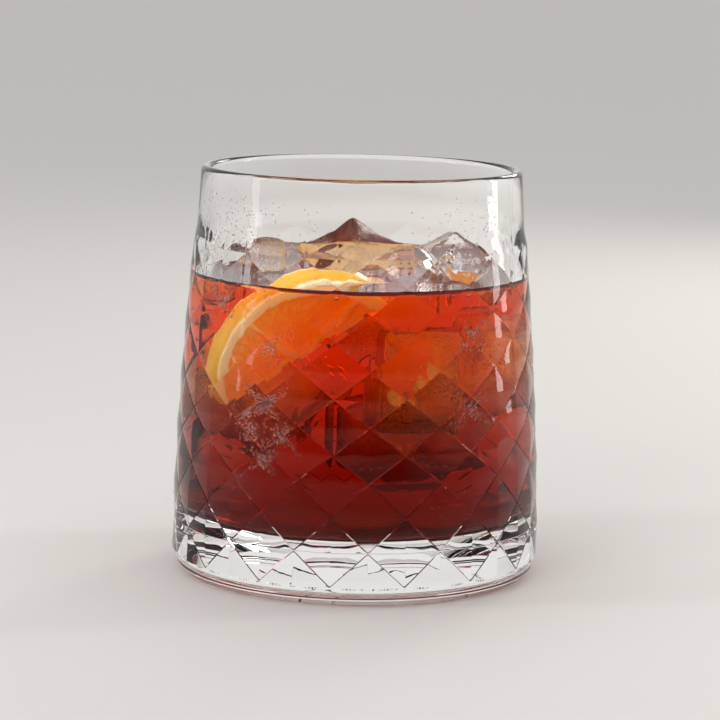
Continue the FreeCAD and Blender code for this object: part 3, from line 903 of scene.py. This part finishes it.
def makeSlice(material):
    o = orange
    bm = halfWheel()
    # for the material: the angle and the share of the radius, and how near a cut face
    polar = bm.loops.layers.uv.new("polar")
    across = bm.verts.layers.float.new("across")
    for face in bm.faces:
        for loop in face.loops:
            spot = loop.vert.co
            angle = math.atan2(max(spot.z, 0.0), spot.x)
            loop[polar].uv = (angle / math.pi, Vector((spot.x, spot.z)).length / o["radius"])
    for vert in bm.verts:
        flat = Vector((vert.co.x, 0, vert.co.z))
        share = flat.length / o["radius"]
        angle = math.atan2(max(vert.co.z, 0.0), vert.co.x)
        side = vert.co.y / (o["thick"] / 2)
        vert[across] = abs(side)
        if abs(side) > 0.999:
            vert.co.y -= math.copysign(fleshDepth(share, angle), side)
        # the cut rounds over at the rind, and the wheel isn't cut quite even
        over = max(0.0, flat.length - (o["radius"] - o["edge"])) / o["edge"]
        if over > 0:
            pull = abs(side) ** 6 * o["edge"] * o["edgePull"] * over
            vert.co -= flat.normalized() * pull
            vert.co.y -= math.copysign(o["edge"] * o["edgeDrop"] * over ** 2 * abs(side), side)
        vert.co.y += o["bow"] * noise.noise(flat / o["bowSize"])
        if share > o["poresFrom"]:
            pore = noise.noise(vert.co / o["poreSize"]) - o["poreSink"]
            vert.co += flat.normalized() * o["poreDepth"] * pore
    bmesh.ops.recalc_face_normals(bm, faces=bm.faces[:])
    turn = Matrix.Rotation(deg(o["heading"]), 3, "Z") @ Matrix.Rotation(deg(-o["slope"]), 3, "Y")
    turn = turn @ Matrix.Rotation(deg(o["lean"]), 3, "X")
    bmesh.ops.rotate(bm, verts=bm.verts[:], cent=(0, 0, 0), matrix=turn)
    low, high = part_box("orange_slice")
    bmesh.ops.translate(bm, verts=bm.verts[:], vec=(low + high) / 2 - boxMiddle(bm))
    piece = newPiece("orange_half_wheel", bm, material)
    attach(piece, "root")
    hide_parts("orange_slice")


def skinMask(tree, along, radius):
    # white on the skins between the segments
    nearest = None
    for angle in orange["membranes"]:
        away = mathNode(tree, "ABSOLUTE", mathNode(tree, "SUBTRACT", along, angle / 180))
        nearest = away if nearest is None else mathNode(tree, "MINIMUM", nearest, away)
    width = mathNode(tree, "MULTIPLY", nearest, radius)
    return rangeNode(tree, width, orange["skinWidth"], (1.0, 0.0))


def makeOrangeMaterial():
    o = orange
    material, tree, shader, place = newMaterial("orange_flesh_and_rind")
    polar = addNode(tree, "ShaderNodeUVMap", uv_map="polar").outputs[0]
    split = addNode(tree, "ShaderNodeSeparateXYZ")
    feed(tree, split.inputs[0], polar)
    along, radius = split.outputs["X"], split.outputs["Y"]
    # sacs of juice, stretched along the radius
    stretch = addNode(tree, "ShaderNodeMapping")
    feed(tree, stretch.inputs["Vector"], polar)
    stretch.inputs["Scale"].default_value = o["sacStretch"]
    sacs = addNode(tree, "ShaderNodeTexVoronoi", feature="F1")
    feed(tree, sacs.inputs["Vector"], stretch.outputs[0])
    sacs.inputs["Scale"].default_value = 1.0
    sacs.inputs["Randomness"].default_value = 0.9
    flesh = rampNode(tree, sacs.outputs["Distance"], o["flesh"])
    skin = skinMask(tree, along, radius)
    cutFace = mixNode(tree, skin, flesh, (*o["skin"], 1))
    # zones by radius: flesh, pith, peel
    side = addNode(tree, "ShaderNodeAttribute", attribute_name="across").outputs["Fac"]
    shift = rangeNode(tree, side, o["roundEdge"], (0.0, o["roundEdgeShift"]))
    cloud = noiseNode(tree, place, o["raggedScale"], 4)
    zone = mathNode(tree, "MULTIPLY_ADD", cloud, o["ragged"],
                    mathNode(tree, "SUBTRACT", radius, shift))
    fleshEnd, rindStart = o["fleshEnd"]
    isRind = rampNode(tree, zone, ((fleshEnd, (0, 0, 0)), (rindStart, (1, 1, 1))))
    rind = rampNode(tree, zone, o["rindColours"])
    green = rangeNode(tree, along, o["greenSpan"], (0.0, o["greenMost"]))
    onPeel = mathNode(tree, "GREATER_THAN", zone, o["greenFrom"])
    rind = mixNode(tree, mathNode(tree, "MULTIPLY", green, onPeel), rind, (*o["green"], 1))
    colour = mixNode(tree, isRind, cutFace, rind)
    feed(tree, shader.inputs["Base Color"], colour)
    # painted light: the same colours also glow from the surface, so the slice looks lit where
    # little light reaches it
    feed(tree, shader.inputs["Emission Color"], colour)
    for name, value in (("Roughness", o["roughness"]), ("Emission Strength", o["paintedGlow"]),
                        ("Subsurface Weight", o["translucent"]),
                        ("Subsurface Radius", (1.0, 0.5, 0.15)),
                        ("Subsurface Scale", o["translucentDepth"]),
                        ("Coat Weight", o["wet"]), ("Coat Roughness", o["wetRoughness"])):
        shader.inputs[name].default_value = value
    pores = addNode(tree, "ShaderNodeTexVoronoi", feature="SMOOTH_F1")
    feed(tree, pores.inputs["Vector"], place)
    pores.inputs["Scale"].default_value = o["poreScale"]
    relief = mixNode(tree, isRind, sacs.outputs["Distance"], pores.outputs["Distance"], "FLOAT")
    bump = bumpNode(tree, relief, o["relief"], o["reliefDepth"])
    feed(tree, shader.inputs["Normal"], bump.outputs[0])
    return material


# droplets on the outside of the glass
droplets = dict(
    seed=77, segments=8, rings=6, flat=0.62, handful=40, outside=80 * mm,
    ior=1.33, waveScale=900, grainScale=3000, grainAmount=0.1, unevenness=0.01 * mm,
    # degrees from the front, and millimetres
    wall=700, wallSides=(-48, -60, -30, 42), wallSpread=12, wallHeights=(66, 91), wallDrop=6,
    wallSize=(0.08, 0.24),
    cluster=260, clusterReach=0.38, clusterWidth=0.07, diamond=(11.25, 6.2),
    clusterSize=(0.16, 0.42),
    loose=420, looseHeights=(14, 88), looseSize=0.08, looseMore=0.2,
)

# where the beads gather: degrees from the front, height, share of a full cluster
gatherings = [(-29.7, 44.3, 1.0), (-29.7, 56.9, 0.25), (-29.7, 31.6, 0.45), (-24.0, 38.0, 0.4),
              (-35.0, 38.0, 0.4), (38.0, 44.0, 0.5), (39.0, 60.0, 0.4), (-51.0, 66.0, 0.5)]


def beadPlaces():
    # each is degrees from the front, height and radius in millimetres
    d = droplets
    dice = random.Random(d["seed"])
    spots = []
    for _ in range(d["wall"]):
        azimuth = dice.choice(d["wallSides"]) + dice.gauss(0, d["wallSpread"])
        height = dice.uniform(*d["wallHeights"]) - d["wallDrop"] * dice.random() ** 3
        spots.append((azimuth, height, dice.uniform(*d["wallSize"])))
    # a cluster lies along the two crossing grooves at its middle
    wide, tall = d["diamond"]
    for azimuth, height, share in gatherings:
        for _ in range(int(d["cluster"] * share)):
            along = abs(dice.gauss(0, d["clusterReach"]))
            sideways = dice.gauss(0, d["clusterWidth"])
            slant = dice.choice((-1, 1))
            upDown = dice.choice((-1, 1))
            size = dice.uniform(*d["clusterSize"]) * (1.1 - 0.5 * min(1, along))
            spots.append((azimuth + wide * (along * slant * upDown + sideways),
                          height + tall * (along * upDown - sideways * slant), size))
    for _ in range(d["loose"]):
        azimuth, height = dice.uniform(-180, 180), dice.uniform(*d["looseHeights"])
        spots.append((azimuth, height, d["looseSize"] + d["looseMore"] * dice.random() ** 3))
    return spots


def scatter(bead, matrices):
    # copies of one small mesh joined into one, a handful at a time because that is quick
    whole = bmesh.new()
    for start in range(0, len(matrices), droplets["handful"]):
        part = bmesh.new()
        for matrix in matrices[start:start + droplets["handful"]]:
            copy = bead.copy()
            copy.transform(matrix)
            part.from_mesh(copy)
            bpy.data.meshes.remove(copy)
        joined = bpy.data.meshes.new("joined")
        part.to_mesh(joined)
        part.free()
        whole.from_mesh(joined)
        bpy.data.meshes.remove(joined)
    return whole


def makeDroplets(glass, material):
    d = droplets
    graph = bpy.context.evaluated_depsgraph_get()
    tree = BVHTree.FromObject(glass, graph)
    bm = bmesh.new()
    bmesh.ops.create_uvsphere(bm, u_segments=d["segments"], v_segments=d["rings"], radius=1.0)
    bead = bpy.data.meshes.new("bead")
    bm.to_mesh(bead)
    bm.free()
    # a bead sits where a level line from well outside meets the glass
    matrices = []
    for azimuth, height, radius in beadPlaces():
        angle = deg(azimuth - 90)
        outward = Vector((math.cos(angle), math.sin(angle), 0))
        start = outward * d["outside"] + Vector((0, 0, height * mm))
        spot, normal, _, _ = tree.ray_cast(start, -outward)
        if spot is None:
            continue
        turn = normal.to_track_quat("Z", "Y").to_matrix().to_4x4()
        size = Matrix.Diagonal((radius * mm, radius * mm, radius * mm * d["flat"], 1))
        matrices.append(Matrix.Translation(spot) @ turn @ size)
    piece = newPiece("droplets", scatter(bead, matrices), material)
    bpy.data.meshes.remove(bead)
    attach(piece, "root")


scene = bpy.context.scene
scene.cycles.max_bounces = 32
scene.cycles.transmission_bounces = 32
scene.cycles.transparent_max_bounces = 16
scene.view_settings.view_transform = "Standard"

glass = makeTumbler(clearMaterial("tumbler_glass", tumbler, holdsDrink=True))
print("tumbler made")
makeDroplets(glass, clearMaterial("water_droplets", droplets))
print("droplets made")
makeSlice(makeOrangeMaterial())
print("orange made")
makeIce(makeIceMaterial())
print("ice made")
makeDrink(makeDrinkMaterial())
print("drink made")
